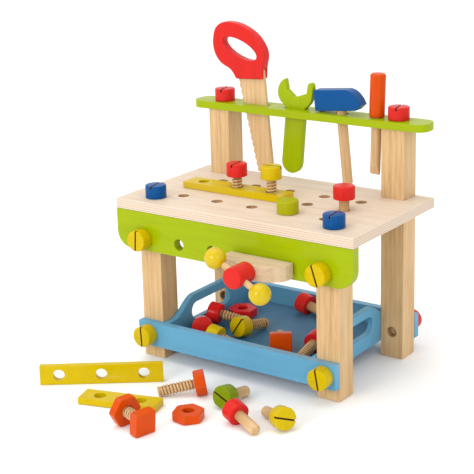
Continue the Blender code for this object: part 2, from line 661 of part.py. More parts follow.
def loose_bolt(name, colour, shape, at, towards, floor, joints, roll=0.0, slot=None):
    """A bolt lying on its side. `at` is under its head, and `towards` is where its shaft points."""
    outline, height, shaft, lean = shape
    bm = bolt(outline, height, shaft)
    place = rest_on(bm, lying(at[0], at[1], towards, lean, roll), floor)
    item = piece(name, bm, colour, place, joints[name])
    if slot is not None:
        slotted(item, place, slot)
    return place


def dip(half_head, shaft):
    """The slope at which a bolt lies on the rim of its head and the tip of its shaft."""
    return math.atan((half_head - SHAFT_RADIUS) / shaft)


def loose_pieces(joints):
    tray_floor = TRAY_BASE_Z + TRAY_BASE_THICKNESS + GAP
    head_flat = HEX_HEAD_CORNERS * math.sqrt(3) / 4
    nut_flat = NUT_CORNERS * math.sqrt(3) / 4
    plain = (round_head(), HEAD_HEIGHT, SHORT_SHAFT, dip(HEAD_RADIUS, SHORT_SHAFT))
    threaded = (round_head(), HEAD_HEIGHT, THREADED_SHAFT, dip(HEAD_RADIUS, THREADED_SHAFT))
    long_round = (round_head(), HEAD_HEIGHT, LONG_SHAFT, dip(HEAD_RADIUS, LONG_SHAFT))
    hexed = (hexagon(HEX_HEAD_CORNERS), HEX_HEIGHT, LONG_SHAFT, dip(head_flat, LONG_SHAFT))
    squared = (square(), SQUARE_HEIGHT, LONG_SHAFT, dip(SQUARE_SIDE / 2, LONG_SHAFT))

    loose_bolt("tray_dark_red_bolt", "dark_red", threaded, (-0.0808, -0.0034), 14, tray_floor, joints)
    loose_bolt("tray_red_bolt", "red", plain, (-0.0764, -0.0480), 124.5, tray_floor, joints)
    loose_bolt("tray_yellow_bolt", "yellow", plain, (-0.0343, -0.0697), 3, tray_floor, joints)
    loose_bolt("tray_slotted_bolt", "yellow", threaded, (-0.0307, -0.0210), 80, tray_floor, joints, slot=-31)
    loose_bolt("tray_square_bolt", "orange", squared, (0.0362, -0.0445), 124.5, tray_floor, joints)
    loose_bolt("tray_plain_bolt", "red", plain, (-0.0016, 0.0800), -6, tray_floor, joints)
    loose_bolt("tray_long_bolt", "red", long_round, (0.0720, -0.0287), -85, tray_floor, joints)
    place = Matrix.Translation((-0.0738, 0.0343, tray_floor + NUT_HEIGHT / 2))
    place = place @ Matrix.Rotation(math.radians(34.5), 4, "Z")
    piece("tray_hex_nut", nut(), "dark_red", place, joints["tray_hex_nut"])

    upright = Matrix.Rotation(math.radians(90), 4, "X")
    place = Matrix.Translation((-0.1707, -0.2062, FLOOR_BAR_WIDTH / 2)) @ Matrix.Rotation(math.radians(35.6), 4, "Z")
    bar = hole_bar(3, FLOOR_BAR_WIDTH)
    piece("floor_long_bar", bar, "yellow", place @ upright, joints["floor_long_bar"])
    place = Matrix.Translation((-0.0925, -0.2240, 0)) @ Matrix.Rotation(math.radians(16), 4, "Z")
    piece("floor_short_bar", hole_bar(2), "yellow", place, joints["floor_short_bar"])
    loose_bolt("floor_hex_bolt", "orange", hexed, (-0.0127, -0.1508), 220, 0, joints, roll=30)
    place = Matrix.Translation((0.0205, -0.2070, NUT_HEIGHT / 2)) @ Matrix.Rotation(math.radians(-10.5), 4, "Z")
    piece("floor_hex_nut", nut(), "orange", place, joints["floor_hex_nut"])
    loose_bolt("floor_green_bolt", "dark_green", plain, (0.0385, -0.1540), 88, 0, joints, slot=69)
    loose_bolt("floor_red_peg", "red", plain, (0.0780, -0.1915), -21, 0, joints)
    loose_bolt("floor_yellow_bolt", "yellow", plain, (0.1170, -0.1715), 152, 0, joints, slot=71)
    to_nut = SQUARE_HEIGHT - HEAD_CHAMFER + NUT_AT - NUT_HEIGHT / 2
    propped = -math.asin((nut_flat - SQUARE_SIDE / 2) / to_nut)
    shape = (square(), SQUARE_HEIGHT, FIXING_SHAFT, propped)
    place = loose_bolt("floor_square_bolt", "orange", shape, (-0.0045, -0.2612), 165.3, 0, joints)
    place = place @ Matrix.Translation((0, 0, -NUT_AT)) @ Matrix.Rotation(math.radians(30), 4, "Z")
    piece("floor_nut_on_bolt", nut(), "orange", place, joints["floor_nut_on_bolt"])


# ---------------------------------------------------------------- the whole set

LOOSE = ("work_bar", "red_work_bolt", "yellow_work_bolt", "green_work_bolt", "red_work_peg",
         "tray_dark_red_bolt", "tray_hex_nut", "tray_red_bolt", "tray_yellow_bolt", "tray_slotted_bolt",
         "tray_square_bolt", "tray_plain_bolt", "tray_long_bolt",
         "floor_long_bar", "floor_short_bar", "floor_hex_bolt", "floor_hex_nut", "floor_green_bolt",
         "floor_red_peg", "floor_yellow_bolt", "floor_square_bolt", "floor_nut_on_bolt")


def centre_on_floor(root):
    """Moves the set so that the origin is on the floor under the middle of its bounding box."""
    bpy.context.view_layer.update()
    corners = [item.matrix_world @ vert.co for item in bpy.data.objects if item.type == "MESH"
               for vert in item.data.vertices]
    middle_x = (min(corner.x for corner in corners) + max(corner.x for corner in corners)) / 2
    middle_y = (min(corner.y for corner in corners) + max(corner.y for corner in corners)) / 2
    root.location = (-middle_x, -middle_y, 0)


def main():
    clear_scene()
    root = empty("bench", (0, 0, 0), None)
    bench_top(root)
    for side, x in (("left", -LEG_X), ("right", LEG_X)):
        front_leg(f"front_leg_{side}", x, root)
        rear_post(f"rear_post_{side}", x, root)
    front_apron(root)
    tool_rail(root)
    tray(root)
    fixings(root)
    vise_jaw(empty("jaw_joint", (VISE_X, jaw_back(), VISE_Z), root))
    vise_screw(empty("screw_joint", (VISE_X, jaw_back(), VISE_Z), root))
    joints = {name: empty(f"{name}_joint", (0, 0, 0), root) for name in LOOSE}
    bench_pieces(joints)
    for make, name, at in ((saw, "saw", SAW_AT), (wrench, "wrench", WRENCH_AT), (hammer, "hammer", HAMMER_AT),
                           (screwdriver, "screwdriver", DRIVER_AT)):
        make(empty(f"{name}_joint", (at[0], RAIL_Y, at[1]), root))
    loose_pieces(joints)
    centre_on_floor(root)


main()
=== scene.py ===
"""The looks of the toy tool bench: rounded boards, turned and threaded bolts, painted and bare wood."""

import json
import math

import bmesh
import bpy
from mathutils import Matrix, Vector


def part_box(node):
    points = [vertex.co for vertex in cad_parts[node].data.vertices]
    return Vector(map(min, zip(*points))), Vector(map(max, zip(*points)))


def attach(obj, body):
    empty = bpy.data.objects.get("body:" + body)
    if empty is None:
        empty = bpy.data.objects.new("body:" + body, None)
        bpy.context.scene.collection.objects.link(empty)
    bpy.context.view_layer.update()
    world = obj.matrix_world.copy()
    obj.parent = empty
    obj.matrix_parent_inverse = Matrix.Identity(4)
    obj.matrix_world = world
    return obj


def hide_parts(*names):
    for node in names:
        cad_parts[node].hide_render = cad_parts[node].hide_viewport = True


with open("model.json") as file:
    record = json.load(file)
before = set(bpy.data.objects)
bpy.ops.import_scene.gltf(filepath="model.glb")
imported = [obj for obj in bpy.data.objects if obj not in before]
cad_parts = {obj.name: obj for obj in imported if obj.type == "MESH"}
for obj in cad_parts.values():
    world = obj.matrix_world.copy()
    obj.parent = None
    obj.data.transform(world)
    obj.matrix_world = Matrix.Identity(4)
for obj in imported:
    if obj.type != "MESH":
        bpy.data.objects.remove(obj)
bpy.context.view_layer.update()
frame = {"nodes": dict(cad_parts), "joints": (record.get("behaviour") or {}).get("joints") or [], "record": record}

NODES = frame["nodes"]
BODY_OF = {name: body for body, names in frame["record"]["behaviour"]["bodies"].items() for name in names}
SLOT_OF = {part["node"]: part["material_slot"] for part in frame["record"]["subparts"]}

SIDES = 48              # sides of every turned piece
WELD = 0.00001          # points this close are one
FILLET_STEPS = 4
BORE_INSET = 0.003      # a hole's wall has its middle at least this far inside its board's box

SHARP_TURN = math.radians(32)     # a sharper edge is shaded as an edge
BEVEL_TURN = math.radians(33)     # and a sharper one still is rounded over
PARALLEL = 0.9995    # how alike two directions are for their faces to be parallel
LEVEL_STEP = 0.0002     # faces this close in height are on one level

# turned pieces
HEAD_FILLET = 0.0014
UNDER_FILLET = 0.0006
TIP_FILLET = 0.0015
HUB_FILLETS = (0.0012, 0.0022)    # at the back and the front of the vise's hub
DRIVER_FILLETS = (0.0014, 0.0026)  # at the lower and the upper end of the screwdriver's handle
HAMMER_FILLET = 0.0018
HANDLE_FILLET = 0.0005
TIP_END = 80            # a tip's rounding stops this many degrees round, short of a point
CORNER_RIM = 0.0009     # the bevel round a hexagonal or square head
CORNER_RUB = 0.975      # how much of its corner a hexagon or a square keeps
THREAD_PROUD = 0.0002   # the ridges stand this far outside the plain shaft
SPINDLE_PROUD = 0.0001
HANDLE_PLAY = 0.0005    # the hub's hole is this much wider than the handle
BALL_PLAY = 0.0003      # and a ball's hole this much
BALL_STEPS = 24
BALL_SOCKET = 0.004     # how deep a ball's hole goes past its middle
BALL_TOP = math.radians(88)
HANDLE_SHORT = 0.006    # from a ball's middle to the end of the handle inside it
HUB_REACH = 0.03        # half the length of the cutter that bores the hub
PLAIN_END = 0.012       # the spindle has no thread over this length, next to the hub
THREAD_PITCH = 0.0038
THREAD_DEPTH = 0.0015
THREAD_STEPS = 7        # rings to each turn of a thread
GROOVE_FROM = 0.66      # share of the depth where the painted shade of the groove begins
RIDGE_POWER = 0.8       # below 1, the ridges are wider than the grooves
THREAD_START = 0.0006   # from the tip's rounding to the thread
THREAD_END = 0.0008     # from the thread to the head
GROOVE_END = 0.0012     # from the last face of painted shade to the head
NECK = 0.0003           # the shaft is this much thinner where it meets the head
NUT_PLAY = 0.0003       # a nut's hole is this much wider than the shaft
NUT_CHAMFER = 0.0008    # and this much wider again at both faces
NUT_THREAD = 0.0009     # the depth of the thread in it
SPINDLE_CORE = 0.0002   # the spindle's plain ends are this much thinner than its box
SPINDLE_START = 0.001
SPINDLE_NECK = 0.010    # the plain neck begins this far from the hub's end of the spindle
SLOT_ACROSS = 0.01      # a slot's walls lie along the shaft: their slope to it is less than this
SLOT_NEAR = 0.002       # they are this near the middle
SLOT_LEAST = 0.00001    # and at least this large, in square metres
SLOT_WIDTH = 0.0021
SLOT_DEPTH = 0.0038
SPINDLE_PITCH = 0.0050

# bolts that show a thread, and heads that aren't round
THREADED = ("tray_dark_red_bolt", "tray_yellow_bolt", "tray_slotted_bolt", "tray_long_bolt", "floor_hex_bolt",
            "floor_square_bolt", "red_work_bolt", "yellow_work_bolt")
CORNERS = {"floor_hex_bolt": 6, "floor_square_bolt": 4, "tray_square_bolt": 4}

# boards and cut shapes: the radius their edges are rounded to, and the axis their grain runs along
ROUNDED = {
    "bench_top": (0.0014, "X"),
    "front_leg_left": (0.0011, "Z"), "front_leg_right": (0.0011, "Z"),
    "rear_post_left": (0.0011, "Z"), "rear_post_right": (0.0011, "Z"),
    "front_apron": (0.0014, "X"), "tool_rail": (0.0016, "X"),
    "tray_front_board": (0.0010, "X"), "tray_rear_board": (0.0010, "X"),
    "tray_side_left": (0.0014, "Y"), "tray_side_right": (0.0014, "Y"), "tray_base_panel": (0.0006, "X"),
    "vise_jaw": (0.0012, "X"), "work_bar": (0.0009, "X"),
    "floor_long_bar": (0.0008, "X"), "floor_short_bar": (0.0008, "X"),
    "saw_handle": (0.0017, "Z"), "saw_blade": (0.0004, "Z"), "wrench": (0.0013, "Z"),
    "hammer_head": (0.0016, "X"), "screwdriver_shaft": (0.0004, "Z"),
}

# linear colours: light, middle and dark grain
WOODS = {
    "plywood": ((0.71, 0.59, 0.475), (0.68, 0.55, 0.425), (0.54, 0.39, 0.28)),
    "leg_wood": ((0.689, 0.486, 0.264), (0.613, 0.404, 0.198), (0.434, 0.245, 0.107)),
    "bare_beech": ((0.710, 0.497, 0.274), (0.624, 0.414, 0.207), (0.424, 0.245, 0.107)),
    "pale_beech": ((0.66, 0.52, 0.35), (0.60, 0.45, 0.29), (0.46, 0.31, 0.18)),
    # darker wood at the bottoms of thread grooves: painted shade
    "groove_wood": ((0.38, 0.22, 0.11), (0.31, 0.17, 0.08), (0.21, 0.10, 0.04)),
    # darker wood for the walls of bores: painted shade
    "bored_wood": ((0.56, 0.36, 0.19), (0.46, 0.28, 0.14), (0.30, 0.16, 0.07)),
}
# linear colours of the paints
PAINTS = {
    "green_paint": (0.308, 0.394, 0.000),
    "dark_green_paint": (0.179, 0.255, 0.003),
    "olive_paint": (0.353, 0.353, 0.002),
    "yellow_paint": (0.560, 0.404, 0.000),
    "ball_paint": (0.560, 0.404, 0.000),
    "red_paint": (0.600, 0.018, 0.014),
    "dark_red_paint": (0.640, 0.011, 0.014),
    "orange_paint": (0.590, 0.062, 0.000),
    "light_blue_paint": (0.116, 0.343, 0.528),
    # the light blue paint darkened where the bench top shades the tray's floor: painted shade
    "tray_floor_paint": (0.008, 0.165, 0.340),
    "blue_paint": (0.000, 0.068, 0.240),
}
# a paint's lacquer: (specular level, coat weight, coat roughness)
LACQUER = {"tray_floor_paint": (0.018, 0.150, 0.290), "ball_paint": (0.10, 0.55, 0.05)}
SATIN = (0.10, 0.16, 0.09)

# nodes whose look is not their record slot's own; the tray's floor gets its blue darkened with painted shade
LOOK_OF = {"green_work_bolt": "olive_paint", "tray_base_panel": "tray_floor_paint",
           "vise_jaw": "pale_beech"}

# bare boards with holes through them, whose walls are darkened with painted shade
BORED = ("bench_top", "front_leg_left", "front_leg_right", "rear_post_left", "rear_post_right")
# dark browns for the bare wood inside slots and the hub's bore: painted shade
SLOT_SHADE_DEEP = (0.110, 0.032, 0.008)
SLOT_SHADE_PALE = (0.20, 0.075, 0.020)

# grain: how far each texture is drawn out along it, and the textures' scales per metre
FIBRE_STRETCH, BAND_STRETCH = 0.045, 0.10
FIBRE_SCALE, BAND_SCALE, RING_SCALE = 620.0, 85.0, 46.0
WOOD_RINGS, PAINT_RINGS = 0.09, 0.07        # the share of the growth rings in the tone
WOOD_SPECULAR = 0.22
WOOD_BANDS, PAINT_BANDS = 0.40, 0.5         # the share of the broad bands against the fibres
WOOD_STOPS, PAINT_STOPS = (0.30, 0.50, 0.74), (0.30, 0.52, 0.80)    # where the three tones stand
WOOD_ROUGHNESS, PAINT_ROUGHNESS = (0.42, 0.58), (0.30, 0.42)
WOOD_BUMP, PAINT_BUMP, SLOT_BUMP = (0.22, 0.0006), (0.12, 0.0005), (0.4, 0.0004)    # strength, height
PAINT_PALE, PAINT_DEEP = 1.06, 0.86         # the grain under paint, as shares of the paint's colour
WORN_SHARE = 0.28       # how far rubbed paint is towards bare wood
HOLLOW_PAINTED_SHADE = (0.495, 0.45, 0.9)     # painted shade in hollows: the pointiness where it starts and where it is full, and how strong
RUBBED = (0.57, 0.64, 0.40)     # the same for rubbed edges
NOISE_MIDDLE = (0.3, 0.7)       # nearly all of a noise lies between these
PLIES = 9
PLY_SHARE = 0.65        # how far a cross ply is from the middle grain to the dark grain
PLY_BLEND = (0.012, 0.016)      # a ply's tone starts and ends this share of the thickness inside it
PLY_UPRIGHT = (0.45, 0.70)      # plies show below the first steepness and not beyond the second
SLOT_MOTTLE_SCALE = 900.0
SLOT_ROUGHNESS = 0.85


# ---------------------------------------------------------------- materials

def node(tree, kind, links=(), **values):
    """One shader node; `values` maps input names to values, and `links` pairs inputs with outputs."""
    made = tree.nodes.new(kind)
    for name, value in values.items():
        made.inputs[name.replace("_", " ")].default_value = value
    for name, output in links:
        tree.links.new(output, made.inputs[name])
    return made


def grain_space(tree, axis, along):
    """Object coordinates squeezed along the grain, so that a texture read in them draws out into streaks."""
    place = node(tree, "ShaderNodeTexCoord").outputs["Object"]
    scale = [along if name == axis else 1.0 for name in "XYZ"]
    return node(tree, "ShaderNodeMapping", [("Vector", place)], Scale=scale).outputs["Vector"]


def mixed(tree, low, high, share):
    """share of the way from the value `low` to the value `high`, all three sockets or numbers."""
    mix = tree.nodes.new("ShaderNodeMix")
    for index, value in ((0, share), (2, low), (3, high)):
        if isinstance(value, float):
            mix.inputs[index].default_value = value
        else:
            tree.links.new(value, mix.inputs[index])
    return mix.outputs[0]


def ramp(tree, source, stops):
    """A colour ramp through (place, colour) stops."""
    made = tree.nodes.new("ShaderNodeValToRGB")
    tree.links.new(source, made.inputs[0])
    elements = made.color_ramp.elements
    while len(elements) < len(stops):
        elements.new(0.5)
    for element, (place, colour) in zip(elements, stops):
        element.position = place
        element.color = (*colour, 1.0)
    return made.outputs[0]


def streaks(tree, axis):
    """Fine fibres, broad bands and growth rings of a board whose grain runs along `axis`."""
    fine_space = grain_space(tree, axis, FIBRE_STRETCH)
    fine = node(tree, "ShaderNodeTexNoise", [("Vector", fine_space)], Scale=FIBRE_SCALE, Detail=6.0,
                Roughness=0.62, Distortion=0.3).outputs[0]
    broad_space = grain_space(tree, axis, BAND_STRETCH)
    broad = node(tree, "ShaderNodeTexNoise", [("Vector", broad_space)], Scale=BAND_SCALE, Detail=3.0,
                 Roughness=0.5).outputs[0]
    rings = node(tree, "ShaderNodeTexWave", [("Vector", broad_space)], Scale=RING_SCALE, Distortion=5.0,
                 Detail=3.0, Detail_Scale=1.4)
    rings.bands_direction = {"X": "Y", "Y": "Z", "Z": "X"}[axis]
    return fine, broad, rings.outputs[1]


def bump(tree, height, size, shader):
    strength, distance = size
    made = node(tree, "ShaderNodeBump", [("Height", height)], Strength=strength, Distance=distance)
    tree.links.new(made.outputs[0], shader.inputs["Normal"])


def between(tree, source, low, high):
    """Spreads the middle of a noise over low..high."""
    made = node(tree, "ShaderNodeMapRange", [("Value", source)], From_Min=NOISE_MIDDLE[0],
                From_Max=NOISE_MIDDLE[1], To_Min=low, To_Max=high)
    return made.outputs[0]


def mixed_colour(tree, share, low, high):
    """share of the way between two colours, each a socket or a linear colour."""
    mix = tree.nodes.new("ShaderNodeMix")
    mix.data_type = "RGBA"
    tree.links.new(share, mix.inputs[0])
    for index, colour in ((6, low), (7, high)):
        if isinstance(colour, tuple):
            mix.inputs[index].default_value = (*colour, 1.0)
        else:
            tree.links.new(colour, mix.inputs[index])
    return mix.outputs[2]


def by_pointiness(tree, low, high, most):
    """0 below the pointiness `low` and `most` beyond `high`, either way round."""
    pointiness = node(tree, "ShaderNodeNewGeometry").outputs["Pointiness"]
    return node(tree, "ShaderNodeMapRange", [("Value", pointiness)], From_Min=low, From_Max=high,
                To_Max=most).outputs[0]


def new_material(name):
    material = bpy.data.materials.new(name)
    material.use_nodes = True
    return material, material.node_tree, material.node_tree.nodes["Principled BSDF"]


def wood(name, axis):
    """Bare lacquered wood: fibres, growth rings and a satin sheen that follows them."""
    light, middle, dark = WOODS[name]
    material, tree, shader = new_material(f"{name}_{axis}")
    fine, broad, rings = streaks(tree, axis)
    tone = mixed(tree, mixed(tree, fine, broad, WOOD_BANDS), rings, WOOD_RINGS)
    colour = ramp(tree, tone, list(zip(WOOD_STOPS, (light, middle, dark))))
    if name == "plywood":
        colour = plywood_edge(tree, colour)
    # painted shade darkens the hollows, by pointiness
    tree.links.new(painted_hollow_shade(tree, colour, dark), shader.inputs["Base Color"])
    tree.links.new(between(tree, broad, *WOOD_ROUGHNESS), shader.inputs["Roughness"])
    shader.inputs["Specular IOR Level"].default_value = WOOD_SPECULAR
    bump(tree, fine, WOOD_BUMP, shader)
    return material


def painted_hollow_shade(tree, colour, dark):
    """Painted shade in the grooves between a thread's ridges."""
    return mixed_colour(tree, by_pointiness(tree, *HOLLOW_PAINTED_SHADE), colour, dark)


def plywood_edge(tree, face_colour):
    """Plies show where a surface stands upright: pale layers with a darker one between."""
    bottom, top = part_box("bench_top")
    place = node(tree, "ShaderNodeTexCoord").outputs["Object"]
    height = node(tree, "ShaderNodeSeparateXYZ", [("Vector", place)]).outputs["Z"]
    level = node(tree, "ShaderNodeMapRange", [("Value", height)], From_Min=bottom.z, From_Max=top.z,
                 To_Max=1.0).outputs[0]
    light, middle, dark = WOODS["plywood"]
    across = tuple((1 - PLY_SHARE) * a + PLY_SHARE * b for a, b in zip(middle, dark))
    stops = []
    for ply in range(PLIES):
        tone = light if ply % 2 == 0 else across
        stops += [(ply / PLIES + PLY_BLEND[0], tone), ((ply + 1) / PLIES - PLY_BLEND[1], tone)]
    layers = ramp(tree, level, stops)
    normal = node(tree, "ShaderNodeNewGeometry").outputs["Normal"]
    upright = node(tree, "ShaderNodeSeparateXYZ", [("Vector", normal)]).outputs["Z"]
    size = tree.nodes.new("ShaderNodeMath")
    size.operation = "ABSOLUTE"
    tree.links.new(upright, size.inputs[0])
    share = node(tree, "ShaderNodeMapRange", [("Value", size.outputs[0])],
                 From_Min=PLY_UPRIGHT[0], From_Max=PLY_UPRIGHT[1]).outputs[0]
    return mixed_colour(tree, share, layers, face_colour)


def painted(name, axis):
    """Thin satin paint over wood: the grain stands through it, and it is rubbed lighter along the edges."""
    colour = PAINTS[name]
    material, tree, shader = new_material(f"{name}_{axis}")
    fine, broad, rings = streaks(tree, axis)
    tone = mixed(tree, mixed(tree, fine, broad, PAINT_BANDS), rings, PAINT_RINGS)
    deep = tuple(PAINT_DEEP * part for part in colour)
    pale = tuple(PAINT_PALE * part for part in colour)
    body = ramp(tree, tone, list(zip(PAINT_STOPS, (pale, colour, deep))))
    worn = tuple((1 - WORN_SHARE) * part + WORN_SHARE * under
                 for part, under in zip(colour, WOODS["bare_beech"][0]))
    rubbed = mixed_colour(tree, by_pointiness(tree, *RUBBED), body, worn)
    tree.links.new(rubbed, shader.inputs["Base Color"])
    tree.links.new(between(tree, broad, *PAINT_ROUGHNESS), shader.inputs["Roughness"])
    specular, coat, coat_roughness = LACQUER.get(name, SATIN)
    shader.inputs["Specular IOR Level"].default_value = specular
    shader.inputs["Specular Tint"].default_value = (*(0.5 + 0.5 * part for part in colour), 1.0)
    shader.inputs["Coat Weight"].default_value = coat
    shader.inputs["Coat Roughness"].default_value = coat_roughness
    bump(tree, fine, PAINT_BUMP, shader)
    return material


def shaded_slot():
    """The bare wood of a screwdriver slot's bottom and walls, darkened with painted shade; the hub's bore gets it
    too.
    """
    material, tree, shader = new_material("slot_wood")
    place = node(tree, "ShaderNodeTexCoord").outputs["Object"]
    shade_mottle = node(tree, "ShaderNodeTexNoise", [("Vector", place)], Scale=SLOT_MOTTLE_SCALE,
                Detail=4.0).outputs[0]
    colour = ramp(tree, shade_mottle, [(0.3, SLOT_SHADE_DEEP), (0.75, SLOT_SHADE_PALE)])
    tree.links.new(colour, shader.inputs["Base Color"])
    shader.inputs["Roughness"].default_value = SLOT_ROUGHNESS
    bump(tree, shade_mottle, SLOT_BUMP, shader)
    return material


MATERIALS = {}


def finish_of(slot_name, axis="Z"):
    """The material for one of the record's slots, made once for each grain direction."""
    key = (slot_name, axis)
    if key not in MATERIALS:
        make = wood if slot_name in WOODS else painted
        MATERIALS[key] = make(slot_name, axis)
    return MATERIALS[key]


def look(name, axis="Z"):
    """The material of a node: its record slot's, unless LOOK_OF says otherwise."""
    return finish_of(LOOK_OF.get(name, SLOT_OF[name]), axis)


# ---------------------------------------------------------------- solids

def add_piece(name, bm, materials, place, replaced):
    bmesh.ops.recalc_face_normals(bm, faces=bm.faces)
    mesh = bpy.data.meshes.new(name)
    bm.to_mesh(mesh)
    bm.free()
    for material in materials:
        mesh.materials.append(material)
    mesh.shade_smooth()
    mesh.set_sharp_from_angle(angle=SHARP_TURN)
    item = bpy.data.objects.new(name, mesh)
    bpy.context.scene.collection.objects.link(item)
    item.matrix_world = place
    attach(item, BODY_OF[replaced])
    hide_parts(replaced)
    return item


def rounded(name):
    """A board or a cut shape: the CAD node's own outline, with its edges rounded over."""
    radius, axis = ROUNDED[name]
    bm = bmesh.new()
    bm.from_mesh(NODES[name].data)
    for face in bm.faces:
        face.material_index = 0
    bmesh.ops.remove_doubles(bm, verts=bm.verts, dist=WELD)
    bmesh.ops.dissolve_limit(bm, angle_limit=math.radians(1), verts=bm.verts, edges=bm.edges)
    item = add_piece(f"{name}_shape", bm, [look(name, axis)], Matrix(), name)
    # painted shade on the walls of the bores
    if name in BORED:
        paint_bore_shade(item, name)
    item.data.shade_smooth()
    bevel = item.modifiers.new("edges", "BEVEL")
    bevel.width = radius
    bevel.segments = 3
    bevel.limit_method = "ANGLE"
    bevel.angle_limit = BEVEL_TURN
    item.modifiers.new("soft_shading", "WEIGHTED_NORMAL")
    return item


def paint_bore_shade(item, name):
    """The walls of the holes through a bare wooden board get a darker wood than its faces: painted shade inside
    the bores.
    """
    low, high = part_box(name)
    item.data.materials.append(finish_of("bored_wood"))
    for face in item.data.polygons:
        if all(low[i] + BORE_INSET < face.center[i] < high[i] - BORE_INSET for i in range(3)):
            face.material_index = 1


def ringed(rings, closed=False):
    """A solid through rings of (z, radius, material), the radius a number or a function of turn and z.
    The material is that of the band after the ring. A closed solid joins its last ring to its first."""
    bm = bmesh.new()
    turns = [2 * math.pi * side / SIDES for side in range(SIDES)]
    loops = []
    for z, radius, _ in rings:
        spans = [radius(turn, z) if callable(radius) else radius for turn in turns]
        loops.append([bm.verts.new((span * math.cos(turn), span * math.sin(turn), z))
                      for turn, span in zip(turns, spans)])
    pairs = list(zip(loops, loops[1:], rings))
    if closed:
        pairs.append((loops[-1], loops[0], rings[-1]))
    for low, high, (_, _, material) in pairs:
        for side in range(SIDES):
            after = (side + 1) % SIDES
            bm.faces.new((low[side], low[after], high[after], high[side])).material_index = material
    if not closed:
        for loop, material in ((loops[0], rings[0][2]), (loops[-1], rings[-2][2])):
            bm.faces.new(loop).material_index = material
    return bm


def fillet(radius, z, size, start, end, material):
    """A quarter round on a rim, from start to end in degrees: its centre is `size` inside the rim."""
    rings = []
    for step in range(FILLET_STEPS + 1):
        turn = math.radians(start + (end - start) * step / FILLET_STEPS)
        rings.append((z + size * math.sin(turn), radius - size + size * math.cos(turn), material))
    return rings


def thread(major, depth, pitch, low, high, material):
    """Rings of a thread with rounded ridges, which fades out at both ends."""
    def radius(turn, z):
        ridge = 0.5 + 0.5 * math.cos(2 * math.pi * (z / pitch - turn / (2 * math.pi)))
        fade = min(1.0, (z - low) / pitch, (high - z) / pitch)
        return major - depth + depth * max(0.0, fade) * ridge ** RIDGE_POWER

    steps = max(2, round((high - low) / pitch * THREAD_STEPS))
    return [(low + (high - low) * step / steps, radius, material) for step in range(steps + 1)]


def shade_grooves(item, major, low, high):
    """The bottom of a thread's groove gets painted shade, darker than its ridges: its faces get the piece's last
    material.
    """
    reach = major - GROOVE_FROM * THREAD_DEPTH
    for face in item.data.polygons:
        if low < face.center.z < high and math.hypot(face.center.x, face.center.y) < reach:
            face.material_index = len(item.data.materials) - 1


def polygon_radius(corners, half_diagonal, scale=1.0):
    """The radius of a regular polygon at any turn, its corners slightly rubbed off."""
    def radius(turn, _):
        sector = 2 * math.pi / corners
        off = (turn + sector / 2) % sector - sector / 2
        flat = half_diagonal * math.cos(sector / 2)
        return scale * min(flat / math.cos(sector / 2 - abs(off)), half_diagonal * CORNER_RUB)

    return radius


# ---------------------------------------------------------------- where a turned piece stands

def flat_groups(mesh):
    """The mesh's faces gathered by direction: (direction, total area, [(area, centre, normal)])."""
    groups = []
    for face in mesh.polygons:
        for group in groups:
            if abs(group[0].dot(face.normal)) > PARALLEL:
                break
        else:
            group = [face.normal.copy(), 0.0, []]
            groups.append(group)
        group[1] += face.area
        group[2].append((face.area, face.center.copy(), face.normal.copy()))
    return groups


def centre_of(faces):
    total = sum(area for area, _, _ in faces)
    return sum((centre * area for area, centre, _ in faces), Vector()) / total


def turned_frame(name):
    """Where a bolt or a nut stands: (matrix, head height, shaft length, radius, has a slot).
    The matrix's Z runs up through the head, its origin is under the head, and its X is the slot's way
    or a corner's."""
    mesh = NODES[name].data
    groups = flat_groups(mesh)
    axis, _, ends = max(groups, key=lambda group: group[1])
    levels = []
    for area, centre, normal in ends:
        reach = centre.dot(axis)
        for level in levels:
            if abs(level[0] - reach) < LEVEL_STEP:
                level[1].append((area, centre, normal))
                break
        else:
            levels.append([reach, [(area, centre, normal)]])
    levels.sort(key=lambda level: level[0])
    first, last = levels[0], levels[-1]
    if sum(face[0] for face in first[1]) > sum(face[0] for face in last[1]):
        axis = -axis
        levels = [[-reach, faces] for reach, faces in reversed(levels)]
    top, tip = levels[-1], levels[0]
    under = max((level for level in levels[:-1] if level[1][0][2].dot(axis) < 0),
                key=lambda level: sum(face[0] for face in level[1]))
    outer_centre = centre_of(top[1])
    height = top[0] - under[0]
    origin = outer_centre - axis * height
    far = max((vert.co for vert in mesh.vertices),
              key=lambda co: ((co - origin) - axis * (co - origin).dot(axis)).length)
    spoke = (far - origin) - axis * (far - origin).dot(axis)
    slot_walls = [direction for direction, _, faces in groups if abs(direction.dot(axis)) < SLOT_ACROSS
                  and any(abs((centre - origin).dot(direction)) < SLOT_NEAR and area > SLOT_LEAST
                          for area, centre, _ in faces)]
    across = axis.cross(slot_walls[0]).normalized() if slot_walls else spoke.normalized()
    matrix = Matrix((across, axis.cross(across), axis)).transposed().to_4x4()
    matrix.translation = origin
    return matrix, height, under[0] - tip[0], spoke.length, bool(slot_walls)


def saw_slot(item, height, radius):
    """Cuts a screwdriver slot along X through the head's face."""
    bm = bmesh.new()
    bmesh.ops.create_cube(bm, size=1.0)
    bmesh.ops.scale(bm, verts=bm.verts, vec=(2.5 * radius, SLOT_WIDTH, 2 * SLOT_DEPTH))
    bmesh.ops.translate(bm, verts=bm.verts, vec=(0, 0, height))
    subtract(item, bm, 1)


